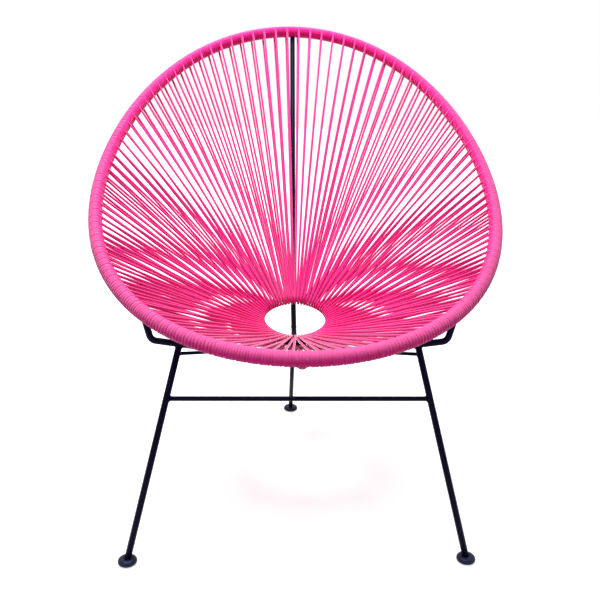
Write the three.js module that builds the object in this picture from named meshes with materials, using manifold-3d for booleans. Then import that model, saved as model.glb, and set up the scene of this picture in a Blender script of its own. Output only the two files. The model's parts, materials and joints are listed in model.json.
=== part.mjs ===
// Acapulco chair: a cord-wound bucket seat on a welded rod tripod.
// Millimetres, +Z up. The chair faces -Y, and +X is to the right of someone who looks at its front.
// The origin is on the floor, under the middle of the chair's box.
import * as THREE from 'three';
import { mergeVertices } from 'three/addons/utils/BufferGeometryUtils.js';
import Module from 'manifold-3d';

const wasm = await Module();
wasm.setup();
const { Manifold, Mesh } = wasm;

// Hoop, the steel tube that the cord is wound on
const overallWidth = 776;
const overallHeight = 860;
const hoopDepth = 874;
const seatFrontHeight = 385;
const hoopSag = 40;
const eggShare = 0.014;
const squareShare = 0.013;
const hoopTubeDiameter = 16;
const hoopTubeWall = 1.5;
const hoopSeamTurnShare = 0.085;
const spigotLength = 70;

// Cord: each pass has a strand on the front face of the seat and one on its back
const cordDiameter = 5;
const cordSectors = 16;
const passesPerSector = 8;
const frontToTopSpreadShare = 0.295;
const sideCrowdingShare = 0.0925;

// Seat ring
const ringRodDiameter = 10;
const ringHoleDiameter = 116;
const ringSetback = 361;
const ringDrop = 80;
const ringTiltDegrees = 17;
const strandRiseDegrees = 35;

// Spine, the rod in the middle plane from the top of the hoop, under the ring, to its front
const mainRodDiameter = 11;
const spineFrontDrop = 6.5;
const spineTopShift = 6;
const spineCornerSetback = 425;
const spineCornerDrop = 201;
const spineBendRadius = 250;
const spineEndWrapLength = 24;
const spineSpreadShare = 0.25;

// Cradle: its turned-up ends carry the hoop's sides, and its arms run back under the seat to the spine,
// where its flat middle lies across on top
const cradleEndShare = 0.125;
const cradleEndShiftShare = 0.3;
const cradleSpreadShare = 0.4;
const cradleEndRise = 46;
const cradleCornerInset = 11;
const cradleCornerBendRadius = 16;
const cradleCrossingSetback = 237;
const cradleFlatSpan = 90;
const cradleFlatBendRadius = 40;

// Legs, crossbar and braces
const frontFootSpan = 561;
const frontFootSetback = 21;
const rearFootSetback = 578;
const legTopInset = 41;
const crossbarDiameter = 8;
const crossbarDrop = 126;
const rearLegDiameter = 9.5;
const rearLegTopSetback = 433;
const braceDiameter = 6;
const braceFrontDrop = 55.5;
const braceRearDrop = 185;

// Feet
const glideDiameter = 31.5;
const glideHeight = 9.6;
const glideFloorThickness = 2.8;
const glideRestDiameter = 17;
const footPlateDiameter = 19;
const footPlateThickness = 2.5;

// Clearance between two pieces that touch on the real chair
const seatGap = 0.3;

// Finishes
const cordFinish = { color: 0xe92c80, roughness: 0.42, metalness: 0 };
const steelFinish = { color: 0x0a0a14, roughness: 0.45, metalness: 0.3 };
const glideFinish = { color: 0x1d1f30, roughness: 0.6, metalness: 0 };

// Facet counts
const hoopStepsPerSector = 4;
const ringStepsPerSector = 2;
const hoopTubeSides = 8;
const hoopBoreSides = 6;
const wrapSides = 8;
const rodSides = 10;
const cordSides = 4;
const ringSides = 8;
const ringBendSteps = 4;
const footSides = 16;
const bendStepDegrees = 12;
const outlineSamples = 360;

// Sizes that follow from the ones above
const hoopTubeRadius = hoopTubeDiameter / 2;
const wrapRadius = hoopTubeRadius + cordDiameter;
const hoopStrandRadius = hoopTubeRadius + cordDiameter / 2 - seatGap;
const cordRadius = cordDiameter / 2;
const hoopHalfDepth = hoopDepth / 2;
const mainRodRadius = mainRodDiameter / 2;
const ringRodRadius = ringRodDiameter / 2;
const ringWrapRadius = ringRodRadius + seatGap + 2 * cordDiameter;
const ringRadius = ringHoleDiameter / 2 + ringWrapRadius;
const ringStrandRadii = [ringRodRadius + seatGap + cordRadius, ringRodRadius + seatGap + 3 * cordRadius];
const hoopFrontHeight = seatFrontHeight - wrapRadius;
const hoopTopHeight = overallHeight - wrapRadius;
const passes = cordSectors * passesPerSector;
const fullTurn = 2 * Math.PI;

const radians = THREE.MathUtils.degToRad;
const point = (x, y, z) => new THREE.Vector3(x, y, z);
const fromFront = (setback) => setback - hoopHalfDepth;
const belowSeat = (drop) => seatFrontHeight - drop;
const up = point(0, 0, 1);

// The part of a vector that is square to a direction, as a unit vector
function squareTo(direction, vector) {
  return vector.clone().addScaledVector(direction, -vector.dot(direction)).normalize();
}

// A rod's path: a list of stations, straight between them, each with the frame of its section
class StationPath extends THREE.Curve {
  constructor(stations, directions, references) {
    super();
    this.stations = stations;
    this.directions = directions;
    this.references = references;
  }

  getPoint(share, target = point(0, 0, 0)) {
    const place = share * (this.stations.length - 1);
    const index = Math.min(Math.floor(place), this.stations.length - 2);
    return target.lerpVectors(this.stations[index], this.stations[index + 1], place - index);
  }

  getUtoTmapping(share) {
    return share;
  }

  computeFrenetFrames() {
    const frames = { tangents: this.directions, normals: [], binormals: [] };
    this.directions.forEach((tangent, index) => {
      const normal = squareTo(tangent, this.references[index]);
      frames.normals.push(normal);
      frames.binormals.push(tangent.clone().cross(normal));
    });
    return frames;
  }
}

// The direction of a path at each station, halfway between those of the stretches that meet there
function meanDirections(stations) {
  return stations.map((here, index) => {
    const before = stations[Math.max(index - 1, 0)];
    const after = stations[Math.min(index + 1, stations.length - 1)];
    const incoming = here.clone().sub(before).normalize();
    const outgoing = after.clone().sub(here).normalize();
    return incoming.add(outgoing).normalize();
  });
}

// Section outlines

function arcPoint(radius, angle) {
  return new THREE.Vector2(radius * Math.cos(angle), radius * Math.sin(angle));
}

// Corners of a regular outline, with the middle of a side on the X axis
function ringOfPoints(radius, sides) {
  return Array.from({ length: sides }, (_, index) => arcPoint(radius, (fullTurn * (index + 1 / 2)) / sides));
}

function roundSection(radius, sides) {
  return new THREE.Shape(ringOfPoints(radius, sides));
}

// The radius to a corner of a regular outline that has the area of a circle
function evenRadius(radius, sides) {
  return radius * Math.sqrt(fullTurn / (sides * Math.sin(fullTurn / sides)));
}

function tubeSection(outerRadius, outerSides, boreRadius, boreSides) {
  const section = roundSection(outerRadius, outerSides);
  section.holes.push(new THREE.Path(ringOfPoints(boreRadius, boreSides)));
  return section;
}

// Solids

function toManifold(geometry) {
  const bare = new THREE.BufferGeometry();
  bare.setAttribute('position', geometry.getAttribute('position'));
  bare.setIndex(geometry.getIndex());
  const merged = mergeVertices(bare);
  const mesh = new Mesh({
    numProp: 3,
    vertProperties: new Float32Array(merged.getAttribute('position').array),
    triVerts: new Uint32Array(merged.getIndex().array),
  });
  return new Manifold(mesh);
}

function toGeometry(solid) {
  const mesh = solid.getMesh();
  const geometry = new THREE.BufferGeometry();
  geometry.setAttribute('position', new THREE.BufferAttribute(mesh.vertProperties, 3));
  geometry.setIndex(new THREE.BufferAttribute(mesh.triVerts, 1));
  geometry.computeVertexNormals();
  return geometry;
}

// Sweeps a section along stations. Its X axis leans to the reference vector at each station.
function sweep(stations, section, directions = meanDirections(stations), references = null) {
  const leans = references ?? stations.map(() => point(0, 1, 1));
  const path = new StationPath(stations, directions, leans);
  const options = { steps: stations.length - 1, bevelEnabled: false, extrudePath: path };
  return toManifold(new THREE.ExtrudeGeometry(section, options));
}

function rod(stations, radius, sides = rodSides) {
  return sweep(stations, roundSection(radius, sides));
}

// Turns a list of corners into stations, with an arc of the given radius at each inner corner
function bentStations(corners, radii) {
  const stations = [corners[0]];
  for (let index = 1; index < corners.length - 1; index += 1) {
    const corner = corners[index];
    const back = corners[index - 1].clone().sub(corner).normalize();
    const ahead = corners[index + 1].clone().sub(corner).normalize();
    const halfTurn = (Math.PI - back.angleTo(ahead)) / 2;
    const inward = back.clone().add(ahead).normalize();
    const centre = corner.clone().addScaledVector(inward, radii[index - 1] / Math.cos(halfTurn));
    const side = ahead.clone().sub(back).normalize();
    const steps = Math.ceil((2 * halfTurn) / radians(bendStepDegrees));
    for (let step = 0; step <= steps; step += 1) {
      const angle = halfTurn * ((2 * step) / steps - 1);
      const place = centre.clone();
      place.addScaledVector(inward, -radii[index - 1] * Math.cos(angle));
      place.addScaledVector(side, radii[index - 1] * Math.sin(angle));
      stations.push(place);
    }
  }
  stations.push(corners[corners.length - 1]);
  return stations;
}

// The same stations, with both ends moved outwards by a distance
function drawnOut(stations, distance) {
  const [first, second] = stations;
  const [nextToLast, last] = stations.slice(-2);
  const start = first.clone().sub(second).setLength(distance).add(first);
  const end = last.clone().sub(nextToLast).setLength(distance).add(last);
  return [start, ...stations.slice(1, -1), end];
}

// Hoop

function hoopHeight(y) {
  const share = (y + hoopHalfDepth) / hoopDepth;
  const rise = (hoopTopHeight - hoopFrontHeight) * share;
  return hoopFrontHeight + rise - 4 * hoopSag * share * (1 - share);
}

const hoopHalfWidth = overallWidth / 2 - wrapRadius;

function hoopOutlineShare(turn) {
  return Math.sin(turn) + eggShare * Math.sin(2 * turn) + squareShare * Math.sin(3 * turn);
}

const sampledShares = Array.from({ length: outlineSamples }, (_, step) => (
  hoopOutlineShare((Math.PI * step) / outlineSamples)
));
const widestShare = Math.max(...sampledShares);

// The passes lie closer together at the sides and the front than at the top
function windingTurn(share) {
  const turn = fullTurn * share;
  return turn - frontToTopSpreadShare * Math.sin(turn) + sideCrowdingShare * Math.sin(2 * turn);
}

// A point on the middle line of the hoop; the turn runs from the front, over the right side, to the top
function hoopPoint(turn) {
  const y = -hoopHalfDepth * Math.cos(turn);
  return point((hoopHalfWidth * hoopOutlineShare(turn)) / widestShare, y, hoopHeight(y));
}

const hoopSteps = cordSectors * hoopStepsPerSector;
const hoopStations = Array.from({ length: hoopSteps }, (_, step) => hoopPoint(windingTurn(step / hoopSteps)));
const hoopStation = (step) => hoopStations[(step + hoopSteps) % hoopSteps].clone();
const hoopDirection = (step) => hoopStation(step + 1).sub(hoopStation(step)).normalize()
  .add(hoopStation(step).sub(hoopStation(step - 1)).normalize()).normalize();

// A stretch of a closed path with the given section, drawn in at both ends by half the gap
function stretch(closedPath, firstStep, lastStep, section, gap) {
  const steps = Array.from({ length: lastStep - firstStep + 1 }, (_, index) => firstStep + index);
  const stations = steps.map(closedPath.station);
  const directions = steps.map(closedPath.direction);
  stations[0].addScaledVector(directions[0], gap / 2);
  stations[stations.length - 1].addScaledVector(directions[stations.length - 1], -gap / 2);
  return sweep(stations, section, directions, steps.map(closedPath.lean));
}

const hoopLean = (step) => ringPoint((fullTurn * step) / hoopSteps).sub(hoopStation(step));
const hoopPath = { station: hoopStation, direction: hoopDirection, lean: hoopLean };

// The whole hoop as a round bar, made of two halves that overlap by a step
function hoopBar(radius) {
  const half = hoopSteps / 2;
  const section = roundSection(radius, hoopTubeSides);
  return stretch(hoopPath, 0, half + 1, section, 0).add(stretch(hoopPath, half, hoopSteps + 1, section, 0));
}

const seamStep = Math.round(hoopSeamTurnShare * hoopSteps);

function makeHoopTube() {
  const section = tubeSection(hoopTubeRadius, hoopTubeSides, hoopTubeRadius - hoopTubeWall, hoopBoreSides);
  return stretch(hoopPath, seamStep, seamStep + hoopSteps, section, seatGap);
}

function makeHoopSpigot() {
  const boreRadius = (hoopTubeRadius - hoopTubeWall) * Math.cos(Math.PI / hoopBoreSides);
  const seam = hoopStation(seamStep);
  const before = hoopStation(seamStep - 1).sub(seam).setLength(spigotLength / 2).add(seam);
  const after = hoopStation(seamStep + 1).sub(seam).setLength(spigotLength / 2).add(seam);
  return sweep([before, seam, after], roundSection(boreRadius - seatGap, hoopBoreSides));
}

// Seat ring

const ringCentre = point(0, fromFront(ringSetback), belowSeat(ringDrop));
const ringAxis = up.clone().applyAxisAngle(point(1, 0, 0), radians(ringTiltDegrees));
const ringSteps = cordSectors * ringStepsPerSector;

function ringOutward(turn) {
  return point(Math.sin(turn), -Math.cos(turn), 0).applyAxisAngle(point(1, 0, 0), radians(ringTiltDegrees));
}

function ringPoint(turn) {
  return ringCentre.clone().addScaledVector(ringOutward(turn), ringRadius);
}

function ringDirection(turn) {
  return ringOutward(turn + Math.PI / 2);
}

// The way that the strands leave the ring
function ringLean(turn) {
  const rise = radians(strandRiseDegrees);
  return ringOutward(turn).multiplyScalar(Math.cos(rise)).addScaledVector(ringAxis, Math.sin(rise));
}

function makeSeatRing() {
  const profile = ringOfPoints(ringRodRadius, ringSides);
  profile.push(profile[0].clone());
  profile.forEach((place) => place.set(place.x + ringRadius, place.y));
  const geometry = new THREE.LatheGeometry(profile, ringSteps, 0, fullTurn);
  geometry.rotateX(Math.PI / 2 + radians(ringTiltDegrees));
  geometry.translate(ringCentre.x, ringCentre.y, ringCentre.z);
  return toManifold(geometry);
}

// Spine and cradle

const hoopFront = hoopPoint(0);
const hoopTop = hoopPoint(Math.PI);
const spineFront = point(0, hoopFront.y, hoopFront.z - spineFrontDrop);
const spineCorner = point(0, fromFront(spineCornerSetback), belowSeat(spineCornerDrop));
const spineTop = point(0, hoopTop.y + spineTopShift, hoopTop.z);
const spineStations = bentStations([spineFront, spineCorner, spineTop], [spineBendRadius]);
const spineFrontSlope = (spineCorner.z - spineFront.z) / (spineCorner.y - spineFront.y);
const alongSpineFront = spineCorner.clone().sub(spineFront).normalize();
const beforeSpineFront = (distance) => spineFront.clone().addScaledVector(alongSpineFront, -distance);

// The place on the spine's middle line at a given distance behind the hoop's front
function spinePoint(setback) {
  const y = fromFront(setback);
  const next = spineStations.findIndex((station) => station.y > y);
  const before = spineStations[next - 1];
  const after = spineStations[next];
  return before.clone().lerp(after, (y - before.y) / (after.y - before.y));
}

const crossingRise = (mainRodDiameter + seatGap) * Math.hypot(1, spineFrontSlope);
const crossing = spinePoint(cradleCrossingSetback).addScaledVector(up, crossingRise);
const cradleGap = Math.round(cradleEndShare * passes);

// The cradle's ends lean, so each meets the hoop past the middle of the gap between two passes
function cradleEnd(side) {
  const end = hoopPoint(windingTurn((cradleGap + cradleEndShiftShare) / passes));
  return point(side * end.x, end.y, end.z);
}

function cradleCorner(side) {
  return cradleEnd(side).add(point(-side * cradleCornerInset, 0, -cradleEndRise));
}

function cradleFlatEnd(side) {
  return crossing.clone().add(point((side * cradleFlatSpan) / 2, 0, 0));
}

const cradleStations = bentStations(
  [cradleEnd(-1), cradleCorner(-1), cradleFlatEnd(-1), cradleFlatEnd(1), cradleCorner(1), cradleEnd(1)],
  [cradleCornerBendRadius, cradleFlatBendRadius, cradleFlatBendRadius, cradleCornerBendRadius],
);

// The hoop, the spine and the cradle, each thicker and longer by the gap, that their neighbours are cut to
const hoopCutter = hoopBar(hoopTubeRadius + seatGap);
const spineCutter = rod(drawnOut(spineStations, seatGap), mainRodRadius + seatGap);
const cradleCutter = rod(drawnOut(cradleStations, seatGap), mainRodRadius + seatGap);

function makeSpineRod() {
  const whole = rod(spineStations, mainRodRadius).subtract(hoopCutter);
  return largestPiece(whole);
}

function makeCradleRod() {
  const whole = rod(cradleStations, mainRodRadius).subtract(hoopCutter);
  return largestPiece(whole);
}

// A rod that is cut by the tube it ends on can leave a sliver on the tube's far side
function largestPiece(solid) {
  const pieces = solid.decompose();
  return pieces.reduce((best, piece) => (piece.volume() > best.volume() ? piece : best));
}

// Legs

// A front leg ends on the cradle's arm, at a given distance inwards of its corner
function legTop(side) {
  const corner = cradleCorner(side);
  const armWidth = Math.abs(corner.x) - cradleFlatSpan / 2;
  return corner.lerp(cradleFlatEnd(side), legTopInset / armWidth);
}

const plateTop = glideFloorThickness + seatGap + footPlateThickness;
const legEndHeight = plateTop + seatGap;
const frontFoot = (side) => point((side * frontFootSpan) / 2, fromFront(frontFootSetback), legEndHeight);
const rearFoot = point(0, fromFront(rearFootSetback), legEndHeight);
const rearLegTop = spinePoint(rearLegTopSetback);

// The place on a leg's middle line at a given height
function legPoint(top, foot, height) {
  return foot.clone().lerp(top, (height - foot.z) / (top.z - foot.z));
}

// A block that fills a foot up to the given height
function footBlock(foot, height) {
  const block = new THREE.BoxGeometry(2 * glideDiameter, 2 * glideDiameter, 2 * height);
  block.translate(foot.x, foot.y, 0);
  return toManifold(block);
}

// A straight round bar along a leg, cut level at the given height
function legBar(top, foot, radius, height) {
  const along = foot.clone().sub(top).normalize();
  const tip = foot.clone().addScaledVector(along, 2 * radius);
  return rod([top, tip], radius).subtract(footBlock(foot, height));
}

function makeLeg(top, foot, radius, carrierCutter) {
  return largestPiece(legBar(top, foot, radius, foot.z).subtract(carrierCutter));
}

function makeFrontLeg(side) {
  return makeLeg(legTop(side), frontFoot(side), mainRodRadius, cradleCutter);
}

function makeRearLeg() {
  return makeLeg(rearLegTop, rearFoot, rearLegDiameter / 2, spineCutter);
}

function frontLegCutter(side) {
  return rod([legTop(side), frontFoot(side)], mainRodRadius + seatGap);
}

function makeCrossbar() {
  const left = legPoint(legTop(-1), frontFoot(-1), belowSeat(crossbarDrop));
  const right = legPoint(legTop(1), frontFoot(1), belowSeat(crossbarDrop));
  return largestPiece(
    rod([left, right], crossbarDiameter / 2)
      .subtract(frontLegCutter(-1))
      .subtract(frontLegCutter(1)),
  );
}

function makeBrace(side) {
  const front = legPoint(legTop(side), frontFoot(side), belowSeat(braceFrontDrop));
  const rear = legPoint(rearLegTop, rearFoot, belowSeat(braceRearDrop));
  rear.x = side * (braceDiameter / 2 + seatGap);
  return largestPiece(
    rod([front, rear], braceDiameter / 2)
      .subtract(frontLegCutter(side))
      .subtract(rod([rearLegTop, rearFoot], rearLegDiameter / 2 + seatGap)),
  );
}

// Feet

// A turned solid about the vertical line through a foot, from radius and height pairs
function turned(foot, profile) {
  const outline = profile.map(([radius, height]) => new THREE.Vector2(radius, height));
  const geometry = new THREE.LatheGeometry(outline, footSides);
  geometry.rotateX(Math.PI / 2);
  geometry.translate(foot.x, foot.y, 0);
  return toManifold(geometry);
}

const plateBottom = glideFloorThickness + seatGap;

function plateProfile(clearance) {
  const radius = footPlateDiameter / 2 + clearance;
  return [
    [0, plateBottom - clearance],
    [radius, plateBottom - clearance],
    [radius, plateTop + clearance],
    [0, plateTop + clearance],
  ];
}

const glideRadiusShares = [0.86, 1, 0.99, 0.88, 0.62];
const glideHeightShares = [0.14, 0.42, 0.6, 0.86, 1];

function glideProfile() {
  const rim = glideRadiusShares.map((share, index) => [
    (share * glideDiameter) / 2,
    glideHeightShares[index] * glideHeight,
  ]);
  return [[0, 0], [glideRestDiameter / 2, 0], ...rim, [0, glideHeight]];
}

function makeFootPlate(foot) {
  return turned(foot, plateProfile(0));
}

function makeFootGlide(top, foot, legRadius) {
  return turned(foot, glideProfile())
    .subtract(turned(foot, plateProfile(seatGap)))
    .subtract(legBar(top, foot, legRadius + seatGap, plateTop));
}

// Cord

// Where a rod meets the hoop between two passes, these two are spread apart
const spreads = [
  [0, spineSpreadShare],
  [cradleGap, cradleSpreadShare],
  [passes - cradleGap, cradleSpreadShare],
];

function hoopPlace(pass) {
  const middle = pass + 1 / 2;
  const [gap, share] = spreads.find(([number]) => Math.abs(middle - number) < 1) ?? [middle, 0];
  return ((middle + Math.sign(middle - gap) * share) / passes) * hoopSteps;
}

// One pass of the cord: down the front face of the seat, round the ring and up the back face.
// Both ends are sunk in the turns round the hoop. At the ring every second pass lies on its neighbours.
function makePass(pass) {
  const turn = (fullTurn * (pass + 1 / 2)) / passes;
  const place = hoopPlace(pass);
  const step = Math.floor(place);
  const alongHoop = hoopStation(step + 1).sub(hoopStation(step)).normalize();
  const atHoop = hoopStation(step).lerp(hoopStation(step + 1), place - step);
  const hoopInward = squareTo(alongHoop, ringPoint(turn).sub(atHoop));
  const hoopNormal = alongHoop.clone().cross(hoopInward).multiplyScalar(hoopStrandRadius);
  atHoop.addScaledVector(hoopInward, cordRadius);
  const alongRing = ringDirection(turn);
  const ringInward = ringLean(turn).negate();
  const ringNormal = alongRing.clone().cross(ringInward);
  const bend = ringStrandRadii[Math.abs(pass) % 2] / Math.cos(Math.PI / 2 / ringBendSteps);
  const round = Array.from({ length: ringBendSteps + 1 }, (_, index) => {
    const angle = (Math.PI * index) / ringBendSteps;
    const spot = ringPoint(turn).addScaledVector(ringNormal, bend * Math.cos(angle));
    return spot.addScaledVector(ringInward, bend * Math.sin(angle));
  });
  const stations = [atHoop.clone().add(hoopNormal), ...round, atHoop.clone().sub(hoopNormal)];
  const sides = stations.map((_, index) => (index > 0 && index < stations.length - 1 ? alongRing : alongHoop));
  const section = roundSection(evenRadius(cordRadius, cordSides), cordSides);
  return sweep(stations, section, undefined, sides);
}

// The turns that hold the spine's end under the front of the hoop
function makeSpineEndWrap() {
  const stations = [beforeSpineFront(cordDiameter), beforeSpineFront(-spineEndWrapLength)];
  return rod(stations, mainRodRadius + cordDiameter);
}

// One sector of the winding: its turns round the hoop and its passes
function makeCordSector(sector) {
  const firstStep = (sector - 1 / 2) * hoopStepsPerSector;
  const lastStep = firstStep + hoopStepsPerSector;
  const outer = evenRadius(wrapRadius, wrapSides);
  const section = tubeSection(outer, wrapSides, hoopTubeRadius + seatGap, hoopTubeSides);
  let wrap = stretch(hoopPath, firstStep, lastStep, section, seatGap);
  if (sector === 0) {
    wrap = wrap.add(makeSpineEndWrap()).subtract(hoopCutter);
  }
  wrap = wrap.subtract(spineCutter).subtract(cradleCutter);
  const firstPass = (sector - 1 / 2) * passesPerSector;
  const passSolids = Array.from({ length: passesPerSector }, (_, index) => makePass(firstPass + index));
  return Manifold.union([wrap, ...passSolids]);
}

// Assembly

const chair = new THREE.Group();

function place(name, solid, finish) {
  const mesh = new THREE.Mesh(toGeometry(solid), new THREE.MeshStandardMaterial(finish));
  mesh.name = name;
  chair.add(mesh);
}

place('hoop_tube', makeHoopTube(), steelFinish);
place('hoop_spigot', makeHoopSpigot(), steelFinish);
place('seat_ring', makeSeatRing(), steelFinish);
place('spine_rod', makeSpineRod(), steelFinish);
place('cradle_rod', makeCradleRod(), steelFinish);
place('crossbar', makeCrossbar(), steelFinish);
place('rear_leg', makeRearLeg(), steelFinish);
[['left', -1], ['right', 1]].forEach(([word, side]) => {
  place(`front_leg_${word}`, makeFrontLeg(side), steelFinish);
  place(`brace_${word}`, makeBrace(side), steelFinish);
  place(`foot_plate_${word}`, makeFootPlate(frontFoot(side)), steelFinish);
  place(`foot_glide_${word}`, makeFootGlide(legTop(side), frontFoot(side), mainRodRadius), glideFinish);
});
place('foot_plate_rear', makeFootPlate(rearFoot), steelFinish);
place('foot_glide_rear', makeFootGlide(rearLegTop, rearFoot, rearLegDiameter / 2), glideFinish);

for (let sector = 0; sector < cordSectors; sector += 1) {
  place(`cord_sector_${String(sector + 1).padStart(2, '0')}`, makeCordSector(sector), cordFinish);
}

// The origin goes under the middle of the whole chair's box
const box = new THREE.Box3().setFromObject(chair);
const middle = box.getCenter(point(0, 0, 0));
chair.children.forEach((mesh) => mesh.geometry.translate(-middle.x, -middle.y, -box.min.z));

export default chair;
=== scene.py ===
import json
import math
import random

import bpy
import numpy as np
from mathutils import Matrix, Vector

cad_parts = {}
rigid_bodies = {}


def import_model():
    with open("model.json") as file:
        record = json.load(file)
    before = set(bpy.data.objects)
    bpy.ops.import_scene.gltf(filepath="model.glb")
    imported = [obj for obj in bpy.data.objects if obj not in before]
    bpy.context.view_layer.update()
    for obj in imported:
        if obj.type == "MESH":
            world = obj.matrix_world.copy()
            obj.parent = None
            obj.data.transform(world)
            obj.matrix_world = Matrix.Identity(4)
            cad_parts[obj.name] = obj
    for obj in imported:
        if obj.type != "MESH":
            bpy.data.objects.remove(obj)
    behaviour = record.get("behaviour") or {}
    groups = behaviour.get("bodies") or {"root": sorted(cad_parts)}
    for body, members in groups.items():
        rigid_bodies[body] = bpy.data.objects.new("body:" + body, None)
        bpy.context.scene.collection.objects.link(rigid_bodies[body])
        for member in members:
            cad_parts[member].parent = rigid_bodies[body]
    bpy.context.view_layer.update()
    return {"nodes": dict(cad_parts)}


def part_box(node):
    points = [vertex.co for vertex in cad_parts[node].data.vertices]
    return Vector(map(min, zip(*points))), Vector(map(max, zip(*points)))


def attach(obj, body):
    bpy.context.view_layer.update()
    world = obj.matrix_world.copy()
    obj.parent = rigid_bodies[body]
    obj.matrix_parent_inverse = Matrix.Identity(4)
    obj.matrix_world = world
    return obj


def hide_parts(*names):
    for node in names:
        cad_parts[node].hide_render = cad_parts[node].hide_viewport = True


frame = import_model()
mm = 0.001
print("frame loaded")


def vec(x, y, z):
    return np.array((x, y, z), float)


def unit(v):
    return v / np.linalg.norm(v)


def squareTo(direction, v):  # the part of v that is square to direction
    return unit(v - direction * np.dot(v, direction))


def middleOf(node):
    low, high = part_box(node)
    return np.array((low + high) / 2, float)


hoop = {
    "width": 776 * mm,
    "height": 860 * mm,
    "seatFront": 385 * mm,
    "depth": 874 * mm,  # of the tube's middle line; the three above are to the outside of its turns
    "sag": 40 * mm,  # how far it hangs below a straight line from front to top
    "egg": 0.014,
    "square": 0.013,
    "outlineSteps": 360,  # for finding where it is widest
    "nudge": 0.002,  # radians to each side, for the way that the tube runs
    "tubeRadius": 8 * mm,
    "wrapRadius": 13 * mm,  # the tube with its turns
    "turnRadius": 12.8 * mm,  # to the outside of the turns round the tube
    "underRadius": 11.8 * mm,  # what shows between two turns
    "passTurnRadius": 10.75 * mm,  # to the middle of the passes' own bends, which stand a little proud
}
cord = {
    "radius": 2.42 * mm,
    "strandRadius": 2.25 * mm,  # drawn thinner where it is stretched
    "pitch": 4.9 * mm,
    "passes": 128,
    "topSpread": 0.295,  # the passes lie wider apart at the top of the hoop
    "sideCrowding": 0.0925,  # and closer together at its sides
    "cradleGap": 16,  # passes between the front and each end of the cradle rod
    "cradleSpread": 0.4,  # how far the two passes beside a rod's end are moved apart, in passes
    "spineSpread": 0.25,
    "sag": 1.6 * mm,  # how far a strand hangs at its middle
    "waver": 0.5 * mm,  # how far it may lie to the side there
    "seed": 11,
}
ring = {
    "fromFront": 361 * mm,  # how far its middle lies behind the front of the hoop
    "rodRadius": 5 * mm,
    "radius": 73.3 * mm,
    "tilt": math.radians(17),
    "strandRise": math.radians(35),  # how steeply the strands leave it
    "turnRadii": (7.55 * mm, 12.45 * mm),  # every second pass lies outside its neighbours
    "steps": 96,
    "sides": 28,
}
halfDepth = hoop["depth"] / 2
frontHeight = hoop["seatFront"] - hoop["wrapRadius"]
topHeight = hoop["height"] - hoop["wrapRadius"]
clearance = 0.3 * mm  # between two rods that are welded together


def fromFront(distance):  # y of a place this far behind the hoop's front, counted from its middle
    return distance - halfDepth


def below(drop):  # the height of a place this far below the front of the seat
    return hoop["seatFront"] - drop


ringCentre = middleOf("seat_ring")
# from the hoop's middle to the CAD's origin, which lies under the middle of the chair's box
shift = vec(0, ringCentre[1] - fromFront(ring["fromFront"]), 0)


def outline(turn):
    return math.sin(turn) + hoop["egg"] * math.sin(2 * turn) + hoop["square"] * math.sin(3 * turn)


widest = max(outline(math.pi * step / hoop["outlineSteps"]) for step in range(hoop["outlineSteps"]))


def windingTurn(share):  # the turn round the outline at this share of the passes, from the front
    turn = 2 * math.pi * share
    return turn - cord["topSpread"] * math.sin(turn) + cord["sideCrowding"] * math.sin(2 * turn)


def hoopPoint(turn):
    y = -halfDepth * math.cos(turn)
    share = (y + halfDepth) / hoop["depth"]
    z = frontHeight + (topHeight - frontHeight) * share - 4 * hoop["sag"] * share * (1 - share)
    return vec((hoop["width"] / 2 - hoop["wrapRadius"]) * outline(turn) / widest, y, z) + shift


def hoopAt(share):  # middle of the tube, its direction, and the two directions square to it
    turn = windingTurn(share)
    spot = hoopPoint(turn)
    along = unit(hoopPoint(turn + hoop["nudge"]) - hoopPoint(turn - hoop["nudge"]))
    inward = squareTo(along, ringPoint(2 * math.pi * share) - spot)
    return spot, along, inward, np.cross(along, inward)


tiltMatrix = np.array(Matrix.Rotation(ring["tilt"], 3, "X"))
ringAxis = tiltMatrix @ vec(0, 0, 1)


def ringOutward(turn):
    return tiltMatrix @ vec(math.sin(turn), -math.cos(turn), 0)


def ringPoint(turn):
    return ringCentre + ringOutward(turn) * ring["radius"]


def bent(corners, radii, step=math.radians(4), fewest=4):  # corners joined by arcs
    line = [corners[0]]
    for corner, before, after, radius in zip(corners[1:-1], corners, corners[2:], radii):
        back, ahead = unit(before - corner), unit(after - corner)
        half = (math.pi - math.acos(np.dot(back, ahead))) / 2
        inward, side = unit(back + ahead), unit(ahead - back)
        centre = corner + inward * radius / math.cos(half)
        count = max(fewest, math.ceil(2 * half / step))
        for index in range(count + 1):
            angle = half * (2 * index / count - 1)
            line.append(centre + radius * (side * math.sin(angle) - inward * math.cos(angle)))
    line.append(corners[-1])
    return line


def meshObject(name, vertices, faces=(), edges=()):
    mesh = bpy.data.meshes.new(name)
    mesh.from_pydata([tuple(map(float, v)) for v in vertices], list(edges), list(faces))
    mesh.update()
    piece = bpy.data.objects.new(name, mesh)
    bpy.context.scene.collection.objects.link(piece)
    return piece


def smoothPiece(name, vertices, faces, material):
    piece = meshObject(name, vertices, faces)
    piece.data.polygons.foreach_set("use_smooth", [True] * len(piece.data.polygons))
    piece.data.materials.append(material)
    piece.data.update()
    return piece


def finishPiece(piece, slotName, *nodes):
    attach(piece, "root")
    if nodes:
        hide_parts(*nodes)


rodShape = {
    "sides": 28,
    "easedEnd": 0.8 * mm,
    "offAxis": vec(0.3, 1, 0.9),  # no rod runs this way, so its section can start from it
}


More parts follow.
